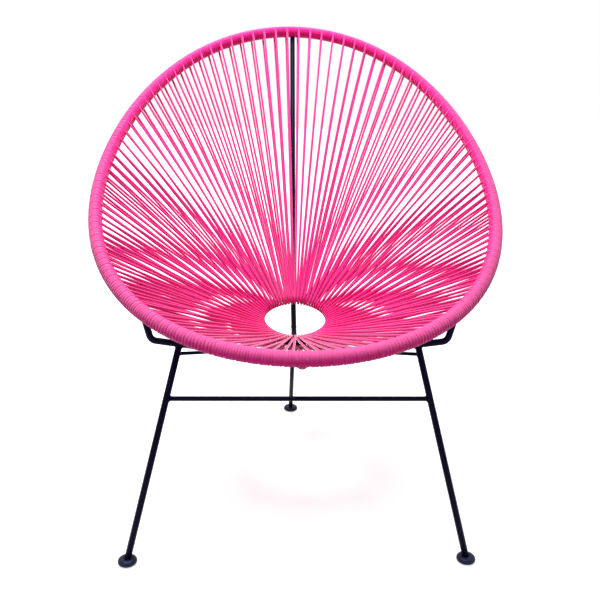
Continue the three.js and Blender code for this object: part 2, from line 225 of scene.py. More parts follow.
def sweepRod(line, radius, sides=rodShape["sides"]):  # a round bar with eased ends along a list of points
    ease = rodShape["easedEnd"]
    first, last = unit(line[1] - line[0]), unit(line[-1] - line[-2])
    stations = [(line[0], radius - ease), (line[0] + first * ease, radius)]
    stations += [(spot, radius) for spot in line[1:-1]]
    stations += [(line[-1] - last * ease, radius), (line[-1], radius - ease)]
    points = [spot for spot, _ in stations]
    normal = squareTo(first, rodShape["offAxis"])
    vertices, faces = [], []
    for index, (spot, reach) in enumerate(stations):
        before, after = points[max(index - 1, 0)], points[min(index + 1, len(points) - 1)]
        along = unit(after - before)
        normal = squareTo(along, normal)
        other = np.cross(along, normal)
        for side in range(sides):
            angle = 2 * math.pi * side / sides
            vertices.append(spot + reach * (normal * math.cos(angle) + other * math.sin(angle)))
    for index in range(len(stations) - 1):
        for side in range(sides):
            a, b = index * sides + side, index * sides + (side + 1) % sides
            faces.append((a, b, b + sides, a + sides))
    faces.append(tuple(reversed(range(sides))))
    start = (len(stations) - 1) * sides
    faces.append(tuple(range(start, start + sides)))
    return vertices, faces


def feed(tree, socket, value):  # a link from another socket, or a plain value
    if isinstance(value, bpy.types.NodeSocket):
        tree.links.new(value, socket)
    else:
        socket.default_value = value


def addNode(tree, kind, inputs=(), **settings):  # inputs go by label in a dictionary, or else by place
    node = tree.nodes.new(kind)
    for key, value in settings.items():
        setattr(node, key, value)
    pairs = inputs.items() if isinstance(inputs, dict) else enumerate(inputs)
    for key, value in pairs:
        feed(tree, node.inputs[key], value)
    return node


def numberMath(tree, operation, *inputs):
    return addNode(tree, "ShaderNodeMath", inputs, operation=operation).outputs[0]


def vectorMath(tree, operation, *inputs):
    node = addNode(tree, "ShaderNodeVectorMath", inputs, operation=operation)
    return node.outputs["Value" if operation in ("DOT_PRODUCT", "DISTANCE", "LENGTH") else "Vector"]


def newTree(name, sizes):  # sizes are the label and kind of each input that the pieces set
    tree = bpy.data.node_groups.new(name, "GeometryNodeTree")
    inputs = {"Geometry": "Geometry", **sizes, "Finish": "Material"}
    for label, kind in inputs.items():
        tree.interface.new_socket(name=label, in_out="INPUT", socket_type="NodeSocket" + kind)
    tree.interface.new_socket(name="Geometry", in_out="OUTPUT", socket_type="NodeSocketGeometry")
    return tree, tree.nodes.new("NodeGroupInput"), tree.nodes.new("NodeGroupOutput")


def chain(tree, *nodes):  # geometry runs through these nodes in turn
    for before, after in zip(nodes, nodes[1:]):
        source = next(s for s in before.outputs if s.enabled and s.type == "GEOMETRY")
        target = next(s for s in after.inputs if s.enabled and s.type == "GEOMETRY")
        tree.links.new(source, target)


def roundSweep(tree, start):  # a mesh path becomes a curve, and a round section runs along it
    path = addNode(tree, "GeometryNodeMeshToCurve")
    circle = {"Resolution": start.outputs["Sides"], "Radius": start.outputs["Radius"]}
    section = addNode(tree, "GeometryNodeCurvePrimitiveCircle", circle).outputs["Curve"]
    return path, addNode(tree, "GeometryNodeCurveToMesh", {"Profile Curve": section, "Fill Caps": True})


def lastNodes(tree, start):
    return (
        addNode(tree, "GeometryNodeSetShadeSmooth"),
        addNode(tree, "GeometryNodeRealizeInstances"),
        addNode(tree, "GeometryNodeSetMaterial", {"Material": start.outputs["Finish"]}),
    )


def applyTree(piece, tree, values):  # sets the named inputs, then keeps the result as a plain mesh
    modifier = piece.modifiers.new(tree.name, "NODES")
    modifier.node_group = tree
    for item in tree.interface.items_tree:
        if item.item_type == "SOCKET" and item.in_out == "INPUT" and item.name in values:
            modifier[item.identifier] = values[item.name]
    bpy.context.view_layer.update()
    graph = bpy.context.evaluated_depsgraph_get()
    mesh = bpy.data.meshes.new_from_object(piece.evaluated_get(graph))
    piece.modifiers.clear()
    piece.data = mesh
    return piece


def newMaterial(name):
    material = bpy.data.materials.new(name)
    material.use_nodes = True
    tree = material.node_tree
    shader = next(n for n in tree.nodes if n.type == "BSDF_PRINCIPLED")
    return material, tree, shader


def objectNoise(tree, scale, detail, roughness):
    place = addNode(tree, "ShaderNodeTexCoord").outputs["Object"]
    inputs = {"Vector": place, "Scale": scale, "Detail": detail, "Roughness": roughness}
    return addNode(tree, "ShaderNodeTexNoise", inputs).outputs["Fac"]


def mapped(tree, value, result, source=(0.0, 1.0)):
    limits = {"From Min": source[0], "From Max": source[1], "To Min": result[0], "To Max": result[1]}
    return addNode(tree, "ShaderNodeMapRange", {"Value": value, **limits}).outputs["Result"]


def mixColour(tree, share, first, second):  # 6, 7 and 2 are the colour sockets
    return addNode(tree, "ShaderNodeMix", {"Factor": share, 6: first, 7: second}, data_type="RGBA").outputs[2]


def setFinish(tree, shader, look, colour, roughness, grain):
    feed(tree, shader.inputs["Base Color"], colour)
    feed(tree, shader.inputs["Roughness"], roughness)
    for label, value in look["sockets"].items():
        shader.inputs[label].default_value = value
    relief = {"Height": grain, "Strength": look["bumpStrength"], "Distance": look["bumpDepth"]}
    feed(tree, shader.inputs["Normal"], addNode(tree, "ShaderNodeBump", relief).outputs["Normal"])


# a noise is given as its scale, detail and roughness; its range is the stretch of it that counts, and
# the shares are what that stretch becomes
cordLook = {
    "pale": (0.95, 0.018, 0.310, 1),
    "deep": (0.86, 0.005, 0.215, 1),
    "dusty": (0.90, 0.045, 0.330, 1),
    "dustNoise": (26, 4, 0.6),
    "dustRange": (0.52, 0.75),
    "dustShares": (0.0, 0.35),
    "grainNoise": (420, 2, 0.5),
    "roughness": (0.36, 0.50),
    "sockets": {
        "Specular IOR Level": 0.08,
        "Sheen Weight": 0.80,
        "Sheen Roughness": 0.40,
        "Sheen Tint": (1.0, 0.84, 1.0, 1),
    },
    "bumpStrength": 0.25,
    "bumpDepth": 0.2 * mm,
    "paintedHighlight": (0.82, 0.130, 0.380, 1),  # painted highlight: a pale colour laid on faces that look up and outwards, standing in for the sheen of the overhead light
    "paintedHighlightUp": 0.90,
    "paintedHighlightOut": 0.40,
    "paintedHighlightRange": (0.25, 0.80),
    "paintedHighlightReach": (0.12, 0.36),  # the painted highlight comes in between these two distances from the ring's middle
    "paintedHighlightShares": (0.18, 0.72),
}


def paintedHighlightAmount(tree):  # painted highlight: how much of it a face takes, from the way the face looks and its place on the chair
    place = addNode(tree, "ShaderNodeTexCoord").outputs["Object"]
    outward = vectorMath(tree, "NORMALIZE", vectorMath(tree, "MULTIPLY", place, (1, 1, 0)))
    wanted = vectorMath(
        tree, "MULTIPLY_ADD", outward, (cordLook["paintedHighlightOut"],) * 3, (0, 0, cordLook["paintedHighlightUp"])
    )
    facing = addNode(tree, "ShaderNodeNewGeometry").outputs["Normal"]
    looks = mapped(tree, vectorMath(tree, "DOT_PRODUCT", facing, wanted), (0.0, 1.0), cordLook["paintedHighlightRange"])
    fromRing = vectorMath(tree, "DISTANCE", place, tuple(ringCentre))
    amount = mapped(tree, fromRing, cordLook["paintedHighlightShares"], cordLook["paintedHighlightReach"])
    return numberMath(tree, "MULTIPLY", looks, amount)


def makeCordMaterial():
    material, tree, shader = newMaterial("pinkCord")
    tone = addNode(tree, "ShaderNodeAttribute", attribute_name="tone").outputs["Fac"]
    clean = mixColour(tree, tone, cordLook["deep"], cordLook["pale"])
    patches = objectNoise(tree, *cordLook["dustNoise"])
    dust = mapped(tree, patches, cordLook["dustShares"], cordLook["dustRange"])
    plain = mixColour(tree, dust, clean, cordLook["dusty"])
    # painted highlight, mixed over the cord's own colour on faces that look up and outwards
    colour = mixColour(tree, paintedHighlightAmount(tree), plain, cordLook["paintedHighlight"])
    grain = objectNoise(tree, *cordLook["grainNoise"])
    setFinish(tree, shader, cordLook, colour, mapped(tree, grain, cordLook["roughness"]), grain)
    return material


frameLook = {
    "colour": (0.0016, 0.0012, 0.0085, 1),
    "edge": (0.0036, 0.0028, 0.0150, 1),
    "cloudNoise": (14, 3, 0.55),
    "cloudShares": (0.35, 0.70),
    "peelNoise": (900, 2, 0.5),
    "roughness": (0.35, 0.49),
    "sockets": {"Specular IOR Level": 0.09, "Specular Tint": (0.50, 0.45, 1.0, 1)},
    "bumpStrength": 0.35,
    "bumpDepth": 0.12 * mm,
}


def makeFrameMaterial():
    material, tree, shader = newMaterial("blackPowderCoat")
    cloud = mapped(tree, objectNoise(tree, *frameLook["cloudNoise"]), frameLook["cloudShares"])
    colour = mixColour(tree, cloud, frameLook["colour"], frameLook["edge"])
    peel = objectNoise(tree, *frameLook["peelNoise"])
    setFinish(tree, shader, frameLook, colour, mapped(tree, peel, frameLook["roughness"]), peel)
    return material


glideLook = {
    "colour": (0.0060, 0.0068, 0.0240, 1),
    "scuffed": (0.0180, 0.0200, 0.0560, 1),
    "scuffNoise": (160, 5, 0.65),
    "scuffRange": (0.50, 0.72),
    "scuffShares": (0.0, 0.8),
    "grainNoise": (1200, 2, 0.5),
    "roughness": (0.36, 0.54),
    "sockets": {"Specular IOR Level": 0.30, "Specular Tint": (0.55, 0.60, 1.0, 1)},
    "bumpStrength": 0.30,
    "bumpDepth": 0.15 * mm,
}


def makeGlideMaterial():
    material, tree, shader = newMaterial("slateGlide")
    scuffs = objectNoise(tree, *glideLook["scuffNoise"])
    worn = mapped(tree, scuffs, glideLook["scuffShares"], glideLook["scuffRange"])
    colour = mixColour(tree, worn, glideLook["colour"], glideLook["scuffed"])
    grain = objectNoise(tree, *glideLook["grainNoise"])
    setFinish(tree, shader, glideLook, colour, mapped(tree, scuffs, glideLook["roughness"]), grain)
    return material


cordMaterial = makeCordMaterial()
frameMaterial = makeFrameMaterial()
glideMaterial = makeGlideMaterial()
print("materials made")


def makeCordTree():
    tree, start, end = newTree("cordOnPath", {"Radius": "Float", "Sides": "Int"})
    chain(tree, start, *roundSweep(tree, start), *lastNodes(tree, start), end)
    return tree


cordTree = makeCordTree()


def pathObject(name, lines, closed, tones):
    vertices, edges, tone = [], [], []
    for line, value in zip(lines, tones):
        base, count = len(vertices), len(line)
        vertices += line
        tone += [value] * count
        edges += [(base + i, base + i + 1) for i in range(count - 1)]
        if closed:
            edges.append((base + count - 1, base))
    piece = meshObject(name, vertices, edges=edges)
    piece.data.attributes.new("tone", "FLOAT", "POINT").data.foreach_set("value", tone)
    return piece


def cordPiece(name, lines, closed, radius, sides, tones=None, finish=cordMaterial):
    piece = pathObject(name, lines, closed, tones or [0.0] * len(lines))
    return applyTree(piece, cordTree, {"Radius": radius, "Sides": sides, "Finish": finish})


gapSpreads = {
    0: cord["spineSpread"],
    cord["cradleGap"]: cord["cradleSpread"],
    cord["passes"] - cord["cradleGap"]: cord["cradleSpread"],
    cord["passes"]: cord["spineSpread"],
}
passShape = {
    "rimSteps": 9,
    "ringSteps": 9,
    "strandSteps": 6,
    "sides": 8,
    "slant": 0.5,  # a pass leaves the hoop half a cord beside where it came
    "sagShares": (0.3, 1.3),
    "tones": (0.15, 1.0),
}


def passShare(number):  # where a pass meets the hoop; the two beside the end of a rod are spread apart
    middle = number + 0.5
    for gap, spread in gapSpreads.items():
        if abs(middle - gap) < 1:
            middle += math.copysign(spread, middle - gap)
            break
    return middle / cord["passes"]


def strandPoints(start, end, waver, sag):
    count = passShape["strandSteps"]
    points = []
    for index in range(1, count):
        share = index / count
        bow = 4 * share * (1 - share)
        points.append(start + (end - start) * share + waver * bow + vec(0, 0, -sag * bow))
    return points


def passLine(number, chance):
    share = passShare(number)
    turn = 2 * math.pi * (number + 0.5) / cord["passes"]
    spot, along, inward, normal = hoopAt(share)
    alongRing = ringOutward(turn + math.pi / 2)
    rise = ring["strandRise"]
    ringInward = -(ringOutward(turn) * math.cos(rise) + ringAxis * math.sin(rise))
    ringNormal = np.cross(alongRing, ringInward)
    reach = ring["turnRadii"][number % 2]
    slant = along * cord["pitch"] * passShape["slant"]
    rim, loop = [], []
    for index in range(passShape["rimSteps"] + 1):
        step = index / passShape["rimSteps"]
        angle = math.pi * (1.5 - step)
        offset = inward * math.cos(angle) + normal * math.sin(angle)
        rim.append(spot + hoop["passTurnRadius"] * offset + slant * (0.5 - step))
    for index in range(passShape["ringSteps"] + 1):
        angle = math.pi * index / passShape["ringSteps"]
        offset = ringNormal * math.cos(angle) + ringInward * math.sin(angle)
        loop.append(ringPoint(turn) + reach * offset)
    drifts = [along * chance.uniform(-1, 1) * cord["waver"] for _ in range(2)]
    sags = [cord["sag"] * chance.uniform(*passShape["sagShares"]) for _ in range(2)]
    down = strandPoints(rim[-1], loop[0], drifts[0], sags[0])
    up = strandPoints(loop[-1], rim[0], drifts[1], sags[1])
    return rim + down + loop + up


def makePasses():
    chance = random.Random(cord["seed"])
    numbers = range(cord["passes"])
    lines = [passLine(number, chance) for number in numbers]
    tones = [chance.uniform(*passShape["tones"]) for _ in numbers]
    return cordPiece("cordPasses", lines, True, cord["strandRadius"], passShape["sides"], tones)


passes = makePasses()
print("passes made:", len(passes.data.polygons), "faces")


turnShape = {
    "steps": 20,
    "sides": 4,
    "crown": 3.8 * mm,  # a pressed cord is flatter outside than a free one
    "sweep": math.radians(80),
    "tilt": math.radians(4.3),
    "tones": (0.1, 0.95),
}
sleeveShape = {"steps": 192, "sides": 20}


def makeTurnTree():
    counts = {"Steps": "Int", "Crown Points": "Int"}
    lengths = {"Turn Radius": "Float", "Crown Radius": "Float"}
    angles = {"Crown Start": "Float", "Crown Sweep": "Float", "Tilt": "Float"}
    tree, start, end = newTree("turnsOnHoop", {**counts, **lengths, **angles})
    size = start.outputs
    circle = {"Resolution": size["Steps"], "Radius": size["Turn Radius"]}
    arc = {
        "Resolution": size["Crown Points"],
        "Radius": size["Crown Radius"],
        "Start Angle": size["Crown Start"],
        "Sweep Angle": size["Crown Sweep"],
    }
    turn = addNode(tree, "GeometryNodeCurvePrimitiveCircle", circle).outputs["Curve"]
    crown = addNode(tree, "GeometryNodeCurveArc", arc).outputs["Curve"]
    skin = addNode(tree, "GeometryNodeCurveToMesh", {"Curve": turn, "Profile Curve": crown})
    lean = addNode(tree, "ShaderNodeCombineXYZ", {"X": size["Tilt"]}).outputs["Vector"]
    tilted = addNode(tree, "GeometryNodeTransform", {"Geometry": skin.outputs["Mesh"], "Rotation": lean})
    ways = []  # along the tube, then inward
    for label in ("along", "inward"):
        stored = addNode(tree, "GeometryNodeInputNamedAttribute", {"Name": label}, data_type="FLOAT_VECTOR")
        ways.append(stored.outputs["Attribute"])
    facing = addNode(tree, "FunctionNodeAlignRotationToVector", {"Vector": ways[0]}, axis="Z")
    pair = {"Rotation": facing.outputs["Rotation"], "Vector": ways[1]}
    turned = addNode(tree, "FunctionNodeAlignRotationToVector", pair, axis="X", pivot_axis="Z")
    placed = {
        "Points": size["Geometry"],
        "Instance": tilted.outputs["Geometry"],
        "Rotation": turned.outputs["Rotation"],
    }
    chain(tree, addNode(tree, "GeometryNodeInstanceOnPoints", placed), *lastNodes(tree, start), end)
    return tree


turnTree = makeTurnTree()


def placedTurns(name, places, radius, tones):  # places are (spot, along, inward)
    piece = meshObject(name, [place[0] for place in places])
    for label, column in (("along", 1), ("inward", 2)):
        flat = [float(c) for place in places for c in place[column]]
        piece.data.attributes.new(label, "FLOAT_VECTOR", "POINT").data.foreach_set("vector", flat)
    piece.data.attributes.new("tone", "FLOAT", "POINT").data.foreach_set("value", tones)
    values = {
        "Turn Radius": radius - turnShape["crown"],
        "Crown Radius": turnShape["crown"],
        "Crown Start": 2 * math.pi - turnShape["sweep"] / 2,
        "Crown Sweep": turnShape["sweep"],
        "Steps": turnShape["steps"],
        "Crown Points": turnShape["sides"] + 1,
        "Tilt": turnShape["tilt"],
        "Finish": cordMaterial,
    }
    return applyTree(piece, turnTree, values)


def makeHoopTurns():
    chance = random.Random(cord["seed"] + 1)
    shares = [passShare(number) for number in range(cord["passes"])] + [1 + passShare(0)]
    places = []
    for first, last in zip(shares, shares[1:]):  # as many turns as fit between two passes
        gap = np.linalg.norm(hoopPoint(windingTurn(last)) - hoopPoint(windingTurn(first)))
        count = max(1, round(gap / cord["pitch"]))
        places += [hoopAt(first + (last - first) * index / count)[:3] for index in range(1, count)]
    tones = [chance.uniform(*turnShape["tones"]) for _ in places]
    print("turns round the hoop:", len(places))
    return placedTurns("hoopTurns", places, hoop["turnRadius"], tones)


def makeUnderSleeve():  # the cord's flanks, deep between the turns
    steps = sleeveShape["steps"]
    line = [hoopPoint(windingTurn(step / steps)) for step in range(steps)]
    return cordPiece("underSleeve", [line], True, hoop["underRadius"], sleeveShape["sides"])


hoopTurns = makeHoopTurns()
underSleeve = makeUnderSleeve()


spine = {
    "radius": 5.5 * mm,
    "corner": vec(0, fromFront(425 * mm), 184 * mm),
    "bend": 250 * mm,
    "frontDrop": 6.5 * mm,
    "topShift": 6 * mm,
}
lashing = {
    "reach": 7.4 * mm,  # to the middle of the cord that is wound on the spine's front end
    "length": 24 * mm,
    "firstTurn": 0.6,  # cords from the spine's end to the first turn
    "tones": (0.1, 0.8),
    "coreExtra": 1 * mm,  # the sleeve under the turns reaches this far past the middle of the cord
    "coreAhead": 1.5 * mm,
    "coreSides": 20,
    "tipPlaces": (-1.5, -0.5, 0.5, 1.5),  # cords to the side, for the four laid over the spine's end
    "tipTones": (0.35, 0.7, 0.45, 0.6),
    "tipStart": vec(0, -9.9, 3.6) * mm,  # from the hoop's middle line; they come down over its front
    "tipFront": vec(0, -10.4, 2.5) * mm,
    "tipAhead": 3 * mm,  # and pass under the spine's end from this far ahead of it
    "tipTail": 8 * mm,
    "tipBend": 5 * mm,
    "tipStep": math.radians(10),
    "tipSides": 12,
}
hoopFront, hoopTop = hoopPoint(0), hoopPoint(math.pi)
spineFront = hoopFront - vec(0, 0, spine["frontDrop"])
spineCorner = spine["corner"] + shift
spineTop = hoopTop + vec(0, spine["topShift"], 0)
spineLine = bent([spineFront, spineCorner, spineTop], [spine["bend"]])
alongSpine = unit(spineCorner - spineFront)  # from its front end down under the seat
squareToSpine = squareTo(alongSpine, vec(0, 0, 1))


def makeSpineLashing():
    chance = random.Random(cord["seed"] + 2)
    reach, pitch = lashing["reach"], cord["pitch"]
    places = []
    for index in range(round(lashing["length"] / pitch)):
        spot = spineFront + alongSpine * (index + lashing["firstTurn"]) * pitch
        places.append((spot, alongSpine, squareToSpine))
    tones = [chance.uniform(*lashing["tones"]) for _ in places]
    turns = placedTurns("spineLashing", places, reach + cord["radius"], tones)
    coreEnd = lashing["length"] - lashing["coreExtra"]
    core = [spineFront - alongSpine * lashing["coreAhead"], spineFront + alongSpine * coreEnd]
    coreRadius = reach + lashing["coreExtra"]
    under = cordPiece("lashingCore", [core], False, coreRadius, lashing["coreSides"])
    lines = []
    for place in lashing["tipPlaces"]:
        side = vec(place * pitch, 0, 0)
        depth = math.sqrt(reach ** 2 - side[0] ** 2)
        tip = spineFront + side - squareToSpine * depth
        corners = [
            hoopFront + side + lashing["tipStart"],
            hoopFront + side + lashing["tipFront"] - vec(0, 0, depth),
            tip - alongSpine * lashing["tipAhead"],
            tip + alongSpine * lashing["tipTail"],
        ]
        lines.append(bent(corners, [lashing["tipBend"]] * 2, lashing["tipStep"]))
    tipSides, tipTones = lashing["tipSides"], lashing["tipTones"]
    return [turns, under, cordPiece("spineTipCords", lines, False, cord["radius"], tipSides, tipTones)]


def joinPieces(name, pieces):
    for piece in bpy.context.scene.objects:
        piece.select_set(piece in pieces)
    bpy.context.view_layer.objects.active = pieces[0]
    bpy.ops.object.join()
    pieces[0].name = name
    pieces[0].select_set(False)
    return pieces[0]


sectorNames = sorted(name for name in frame["nodes"] if name.startswith("cord_sector_"))
hoopTurns = joinPieces("hoopTurns", [hoopTurns, underSleeve] + makeSpineLashing())
finishPiece(passes, "cord", *sectorNames)
finishPiece(hoopTurns, "cord")
print("cord placed")


cradle = {
    "radius": 5.5 * mm,
    "endShift": 0.3,  # passes, from the gap's number to where the rod meets the hoop
    "endRise": 46 * mm,
    "cornerInset": 11 * mm,
    "cornerBend": 16 * mm,
    "crossing": fromFront(237 * mm),  # where its flat middle lies on the spine
    "flatSpan": 90 * mm,
    "flatBend": 40 * mm,
}
legs = {
    "footSpan": 561 * mm,
    "frontFoot": fromFront(21 * mm),
    "rearFoot": fromFront(578 * mm),
    "rearTop": fromFront(433 * mm),
    "end": 5.9 * mm,  # above the floor
    "topInset": 41 * mm,
    "frontRadius": 5.5 * mm,
    "rearRadius": 4.75 * mm,
    "frontCut": 3.6 * mm,  # cuts are from the middle line of the rod that a rod is welded to
    "rearCut": 3.2 * mm,
}
crossbar = {"drop": 126 * mm, "radius": 4 * mm, "cut": 3.5 * mm}
brace = {
    "frontDrop": 55.5 * mm,
    "rearDrop": 185 * mm,
    "radius": 3 * mm,
    "frontCut": 3 * mm,
    "rearCut": 0.5 * mm,
    "sides": 20,
}


def spineAt(y):  # the place on the spine's middle line
    y += shift[1]
    for before, after in zip(spineLine, spineLine[1:]):
        if before[1] <= y <= after[1]:
            return before + (after - before) * (y - before[1]) / (after[1] - before[1])
    return spineLine[-1]


slope = (spineCorner[2] - spineFront[2]) / (spineCorner[1] - spineFront[1])
crossingGap = spine["radius"] + cradle["radius"] + clearance  # between the two middle lines
crossing = spineAt(cradle["crossing"]) + vec(0, 0, crossingGap * math.hypot(1, slope))


def cradleEnd(side):
    share = (cord["cradleGap"] + cradle["endShift"]) / cord["passes"]
    return hoopPoint(windingTurn(share)) * vec(side, 1, 1)


def cradleCorner(side):
    return cradleEnd(side) - vec(side * cradle["cornerInset"], 0, cradle["endRise"])


def cradleFlatEnd(side):
    return crossing + vec(side * cradle["flatSpan"] / 2, 0, 0)


def cradleTip(side):  # where the end meets the tube's skin
    end = cradleEnd(side)
    return end + unit(cradleCorner(side) - end) * hoop["tubeRadius"]


cradleCorners = [cradleCorner(-1), cradleFlatEnd(-1), cradleFlatEnd(1), cradleCorner(1)]
cradleBends = [cradle["cornerBend"], cradle["flatBend"], cradle["flatBend"], cradle["cornerBend"]]
cradleLine = bent([cradleTip(-1)] + cradleCorners + [cradleTip(1)], cradleBends)


def legTop(side):
    corner, inner = cradleCorner(side), cradleFlatEnd(side)
    return corner + (inner - corner) * legs["topInset"] / abs(corner[0] - inner[0])


def frontFoot(side):
    return vec(side * legs["footSpan"] / 2, legs["frontFoot"], legs["end"]) + shift


rearFoot = vec(0, legs["rearFoot"], legs["end"]) + shift
rearLegTop = spineAt(legs["rearTop"])


def onLeg(top, foot, height):
    return foot + (top - foot) * (height - foot[2]) / (top[2] - foot[2])


def barEnd(side):
    return onLeg(legTop(side), frontFoot(side), below(crossbar["drop"]))


def braceEnds(side):  # on the front leg's middle line, on the rear leg's, and beside the rear leg's
    front = onLeg(legTop(side), frontFoot(side), below(brace["frontDrop"]))
    rear = onLeg(rearLegTop, rearFoot, below(brace["rearDrop"]))
    return front, rear, rear + vec(side * (brace["radius"] + clearance), 0, 0)


def trimmed(start, end, startCut, endCut=0.0):  # a straight stretch, shortened at its ends
    along = unit(end - start)
    return [start + along * startCut, end - along * endCut]


def makeRods():
    bar = trimmed(barEnd(-1), barEnd(1), crossbar["cut"], crossbar["cut"])
    rods = {
        "spine_rod": (spineLine, spine["radius"]),
        "cradle_rod": (cradleLine, cradle["radius"]),
        "rear_leg": (trimmed(rearLegTop, rearFoot, legs["rearCut"]), legs["rearRadius"]),
        "crossbar": (bar, crossbar["radius"]),
    }
    for word, side in (("left", -1), ("right", 1)):
        leg = trimmed(legTop(side), frontFoot(side), legs["frontCut"])
        front, _, besideRear = braceEnds(side)
        run = trimmed(front, besideRear, brace["frontCut"], brace["rearCut"])
        rods["front_leg_" + word] = (leg, legs["frontRadius"])
        rods["brace_" + word] = (run, brace["radius"], brace["sides"])
    for node, shape in rods.items():
        piece = smoothPiece(node + "_smooth", *sweepRod(*shape), frameMaterial)
        finishPiece(piece, "frame_steel", node)


def makeRing():
    line = [ringPoint(2 * math.pi * step / ring["steps"]) for step in range(ring["steps"])]
    piece = cordPiece("seatRingSmooth", [line], True, ring["rodRadius"], ring["sides"], finish=frameMaterial)
    finishPiece(piece, "frame_steel", "seat_ring")


makeRods()
makeRing()
print("rods made")


weld = {
    "radius": 1.5 * mm,
    "sides": 10,
    "steps": 40,
    "start": vec(0.2, 0.4, 1),  # no welded rod runs this way, so its ring of points can start from it
    "ripple": 0.5 * mm,
    "rippleScale": 260.0,
    "rippleDetail": 1.0,
    "spineReach": 5 * mm,  # how far to each side the spine counts as straight at the rear leg
    "strokeShift": 4.3 * mm,  # the two strokes lie this far before and behind the crossing
    "strokeHalf": 5 * mm,
    "strokeSteps": (-1, -0.5, 0, 0.5, 1),
    "strokeRise": 0.7 * mm,
    "strokeDroop": 0.22,  # how much lower they lie for each length from the middle
}


# where the skin of a rod from start towards a place meets the skin of the rod that carries it
def seamLine(start, toward, radius, carrierStart, carrierEnd, carrierRadius):
    along = unit(toward - start)
    first = squareTo(along, weld["start"])
    second = np.cross(along, first)
    axis = unit(carrierEnd - carrierStart)
    points = []
    for step in range(weld["steps"]):
        angle = 2 * math.pi * step / weld["steps"]
        origin = start + radius * (first * math.cos(angle) + second * math.sin(angle)) - carrierStart
        flatOrigin = origin - axis * np.dot(origin, axis)
        flatAlong = along - axis * np.dot(along, axis)
        a, b = np.dot(flatAlong, flatAlong), 2 * np.dot(flatOrigin, flatAlong)
        c = np.dot(flatOrigin, flatOrigin) - carrierRadius ** 2
        reach = (-b + math.sqrt(max(b * b - 4 * a * c, 0))) / (2 * a)
        points.append(carrierStart + origin + along * reach)
    return points


def makeWeldTree():
    sizes = {"Radius": "Float", "Sides": "Int", "Ripple": "Float", "Ripple Scale": "Float"}
    tree, start, end = newTree("weldBead", sizes)
    ripples = {"Scale": start.outputs["Ripple Scale"], "Detail": weld["rippleDetail"]}
    noise = addNode(tree, "ShaderNodeTexNoise", ripples).outputs["Fac"]
    height = numberMath(tree, "MULTIPLY", numberMath(tree, "SUBTRACT", noise, 0.5), start.outputs["Ripple"])
    normal = addNode(tree, "GeometryNodeInputNormal").outputs["Normal"]
    push = addNode(tree, "ShaderNodeVectorMath", {"Vector": normal, "Scale": height}, operation="SCALE")
    moved = addNode(tree, "GeometryNodeSetPosition", {"Offset": push.outputs["Vector"]})
    chain(tree, start, *roundSweep(tree, start), moved, *lastNodes(tree, start), end)
    return tree


def weldSeams():
    seams = []
    for side in (-1, 1):
        top, foot = legTop(side), frontFoot(side)
        leg = (top, foot, legs["frontRadius"])
        front, rear, besideRear = braceEnds(side)
        arm = (cradleFlatEnd(side), cradleCorner(side), cradle["radius"])
        bar = barEnd(side)
        seams += [
            seamLine(*leg, *arm),
            seamLine(bar, bar * vec(0, 1, 1), crossbar["radius"], *leg),
            seamLine(front, rear, brace["radius"], *leg),
            seamLine(besideRear, front, brace["radius"], rearLegTop, rearFoot, legs["rearRadius"]),
        ]
    around = [spineAt(legs["rearTop"] + reach) for reach in (-weld["spineReach"], weld["spineReach"])]
    seams.append(seamLine(rearLegTop, rearFoot, legs["rearRadius"], *around, spine["radius"]))
    return seams


def weldStrokes():  # before and behind the place where the cradle lies on the spine
    strokes = []
    for side in (-1, 1):
        base = crossing - squareToSpine * crossingGap / 2 + alongSpine * side * weld["strokeShift"]
        stroke = []
        for step in weld["strokeSteps"]:
            x = step * weld["strokeHalf"]
            rise = weld["strokeRise"] - abs(x) * weld["strokeDroop"]
            stroke.append(base + vec(x, 0, 0) + squareToSpine * rise)
        strokes.append(stroke)
    return strokes


def makeWelds():
    tree = makeWeldTree()
    values = {
        "Radius": weld["radius"],
        "Sides": weld["sides"],
        "Ripple": weld["ripple"],
        "Ripple Scale": weld["rippleScale"],
        "Finish": frameMaterial,
    }
    beads = []
    for name, lines, closed in (("weldBeads", weldSeams(), True), ("weldStrokes", weldStrokes(), False)):
        beads.append(applyTree(pathObject(name, lines, closed, [0.0] * len(lines)), tree, values))
    finishPiece(joinPieces("weldBeads", beads), "frame_steel")


makeWelds()
print("welds made")


glide = {
    "radius": 15.75 * mm,
    "height": 9.6 * mm,
    "rest": 8.5 * mm,  # radius of the flat face that it stands on
    "radiusShares": (0.80, 0.90, 0.965, 0.995, 1.0, 0.985, 0.945, 0.87, 0.765, 0.62),
    "heightShares": (0.02, 0.10, 0.20, 0.32, 0.46, 0.60, 0.73, 0.85, 0.94, 1.0),
    "collar": 1.0 * mm,  # the top's flat goes in to this far from the leg
    "lean": 4 * mm,  # the collar is moved along with a leg that leans
    "innerRadius": 0.9,  # of the leg's, so that the inner edge is inside the leg
    "innerDip": 0.8 * mm,
    "innerLean": 1 / 6,  # its share of the collar's lean
    "middleDip": 0.9 * mm,
    "sides": 56,
}


